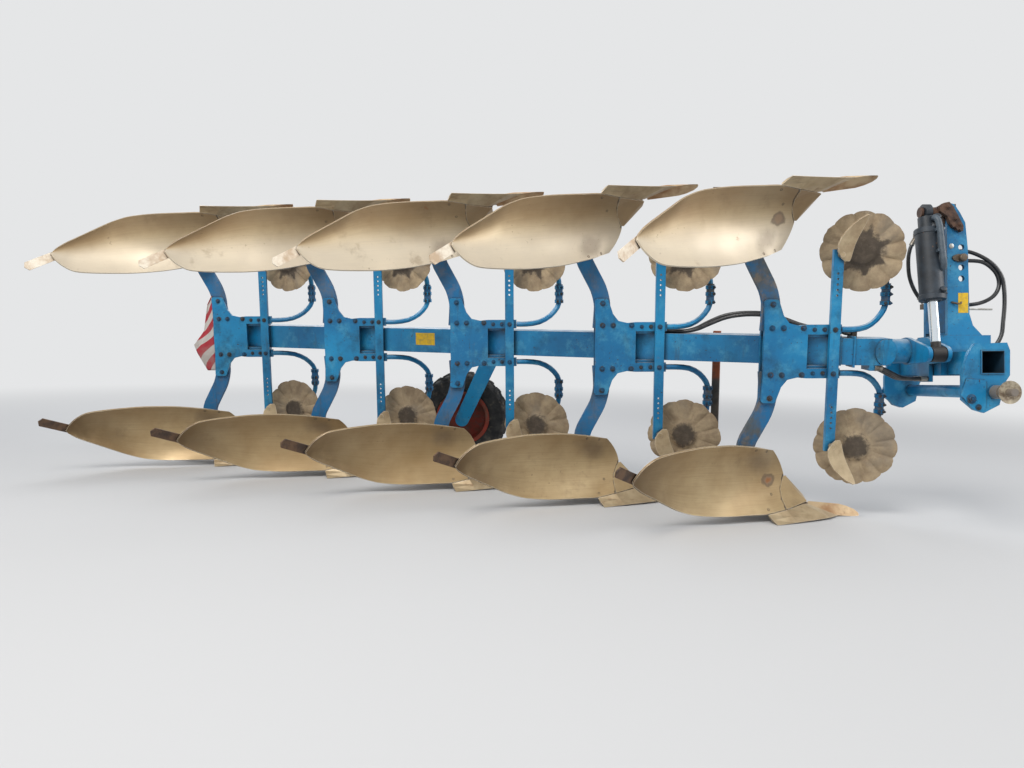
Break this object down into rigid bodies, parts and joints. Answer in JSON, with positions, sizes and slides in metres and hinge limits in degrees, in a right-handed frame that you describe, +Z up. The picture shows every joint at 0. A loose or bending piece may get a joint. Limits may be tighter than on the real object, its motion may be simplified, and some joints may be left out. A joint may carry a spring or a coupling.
{
  "type": "mounted reversible plough",
  "caption": "Mounted reversible moldboard plough with upper and lower furrow bodies on a skewed beam, disc coulters, skimmers, depth wheel, parking stand and turnover headstock.",
  "frame": {"origin": "On the ground under the middle of the bounding box, plough at rest on its lower row of bodies.", "axes": "X forward in the direction of travel, towards the tractor; Y to the left; Z up."},
  "size_m": [5.8904, 2.5807, 1.9193],
  "materials": {
    "blue_paint": "worn paint",
    "barrel_paint": "satin paint",
    "rod": "polished",
    "rust": "rusty",
    "dark_steel": "bare worn steel",
    "board_steel": "soil polished with dried earth",
    "disc_steel": "dried earth",
    "rim_paint": "worn paint",
    "tyre": "dusty rubber",
    "stand_paint": "worn orange paint",
    "flag": "striped cloth",
    "hose": "dull rubber"
  },
  "bodies": {
    "headstock": {"tower": "blue_paint", "cylinder_anchor": "rust", "bearing_housing": "blue_paint", "cross_tube": "blue_paint", "link_plates": "blue_paint", "lower_link_shaft": "blue_paint", "link_balls": "dark_steel", "top_link_pin": "dark_steel", "hose_fittings": "dark_steel", "headstock_hoses": "hose"},
    "cylinder_barrel": {"cylinder_barrel": "barrel_paint"},
    "cylinder_rod": {"cylinder_rod": "rod"},
    "frame": {"turn_crank": "blue_paint", "front_carrier": "blue_paint", "main_beam": "blue_paint", "leg_brackets": "blue_paint", "legs_lower": "blue_paint", "legs_upper": "blue_paint", "frogs_lower": "dark_steel", "frogs_upper": "dark_steel", "moldboards_lower": "board_steel", "moldboards_upper": "board_steel", "shins_lower": "board_steel", "shins_upper": "board_steel", "shares_lower": "board_steel", "shares_upper": "board_steel", "points_lower": "dark_steel", "points_upper": "dark_steel", "extensions_lower": "dark_steel", "extensions_upper": "dark_steel", "landsides_lower": "rust", "landsides_upper": "rust", "skimmer_stalks": "blue_paint", "skimmers_lower": "board_steel", "skimmers_upper": "board_steel", "coulter_arms_lower": "blue_paint", "coulter_arms_upper": "blue_paint", "wheel_beam": "blue_paint", "stand_bracket": "blue_paint", "marker_flag": "flag", "hose_clamps": "dark_steel", "crank_hoses": "hose", "beam_hoses": "hose"},
    "wheel_arm": {"wheel_arm": "blue_paint"},
    "wheel": {"wheel_rim": "rim_paint", "wheel_tyre": "tyre"},
    "stand": {"parking_stand": "stand_paint"},
    "coulter_lower_1": {"disc_lower_1": "disc_steel"},
    "coulter_lower_2": {"disc_lower_2": "disc_steel"},
    "coulter_lower_3": {"disc_lower_3": "disc_steel"},
    "coulter_lower_4": {"disc_lower_4": "disc_steel"},
    "coulter_lower_5": {"disc_lower_5": "disc_steel"},
    "coulter_upper_1": {"disc_upper_1": "disc_steel"},
    "coulter_upper_2": {"disc_upper_2": "disc_steel"},
    "coulter_upper_3": {"disc_upper_3": "disc_steel"},
    "coulter_upper_4": {"disc_upper_4": "disc_steel"},
    "coulter_upper_5": {"disc_upper_5": "disc_steel"}
  },
  "joints": [
    {"name": "turnover", "type": "hinge", "parent": "headstock", "child": "frame", "pos_m": [1.711, -0.541, 0.93989], "axis": [-0.9996, 0.0009, -0.0268], "range_deg": [0, 180]},
    {"name": "cylinder_swing", "type": "hinge", "parent": "headstock", "child": "cylinder_barrel", "pos_m": [2.50243, -0.59119, 1.71589], "axis": [0.9996, -0.0009, 0.0268], "range_deg": [0, 29.91]},
    {"name": "cylinder_extend", "type": "slide", "parent": "cylinder_barrel", "child": "cylinder_rod", "axis": [0.0261, -0.1941, -0.9806], "range_m": [-0.2, 0.01]},
    {"name": "wheel_arm_swing", "type": "hinge", "parent": "frame", "child": "wheel_arm", "pos_m": [0.19016, 0.95683, 1.00257], "axis": [-0.0009, 0.9976, 0.069], "range_deg": [0, 128]},
    {"name": "wheel_spin", "type": "hinge", "parent": "wheel_arm", "child": "wheel", "pos_m": [-0.10245, 1.16656, 0.35742], "axis": [-0.0009, 0.9976, 0.069], "continuous": true},
    {"name": "stand_slide", "type": "slide", "parent": "frame", "child": "stand", "axis": [-0.0268, -0.069, 0.9973], "range_m": [0, 0.45]},
    {"name": "disc_lower_1_spin", "type": "hinge", "parent": "frame", "child": "coulter_lower_1", "pos_m": [2.24155, -0.45459, 0.40762], "axis": [0.308, 0.9485, 0.0739], "continuous": true},
    {"name": "disc_lower_2_spin", "type": "hinge", "parent": "frame", "child": "coulter_lower_2", "pos_m": [1.34155, -0.10459, 0.40762], "axis": [0.308, 0.9485, 0.0739], "continuous": true},
    {"name": "disc_lower_3_spin", "type": "hinge", "parent": "frame", "child": "coulter_lower_3", "pos_m": [0.44155, 0.24541, 0.40762], "axis": [0.308, 0.9485, 0.0739], "continuous": true},
    {"name": "disc_lower_4_spin", "type": "hinge", "parent": "frame", "child": "coulter_lower_4", "pos_m": [-0.45845, 0.59541, 0.40762], "axis": [0.308, 0.9485, 0.0739], "continuous": true},
    {"name": "disc_lower_5_spin", "type": "hinge", "parent": "frame", "child": "coulter_lower_5", "pos_m": [-1.35845, 0.94541, 0.40762], "axis": [0.308, 0.9485, 0.0739], "continuous": true},
    {"name": "disc_upper_1_spin", "type": "hinge", "parent": "frame", "child": "coulter_upper_1", "pos_m": [2.197, -0.53058, 1.50619], "axis": [0.308, 0.9485, 0.0739], "continuous": true},
    {"name": "disc_upper_2_spin", "type": "hinge", "parent": "frame", "child": "coulter_upper_2", "pos_m": [1.297, -0.18058, 1.50619], "axis": [0.308, 0.9485, 0.0739], "continuous": true},
    {"name": "disc_upper_3_spin", "type": "hinge", "parent": "frame", "child": "coulter_upper_3", "pos_m": [0.397, 0.16942, 1.50619], "axis": [0.308, 0.9485, 0.0739], "continuous": true},
    {"name": "disc_upper_4_spin", "type": "hinge", "parent": "frame", "child": "coulter_upper_4", "pos_m": [-0.503, 0.51942, 1.50619], "axis": [0.308, 0.9485, 0.0739], "continuous": true},
    {"name": "disc_upper_5_spin", "type": "hinge", "parent": "frame", "child": "coulter_upper_5", "pos_m": [-1.403, 0.86942, 1.50619], "axis": [0.308, 0.9485, 0.0739], "continuous": true}
  ],
  "couplings": [
    {"joint": "cylinder_swing", "follows": "turnover", "ratio": 0.16588}
  ]
}
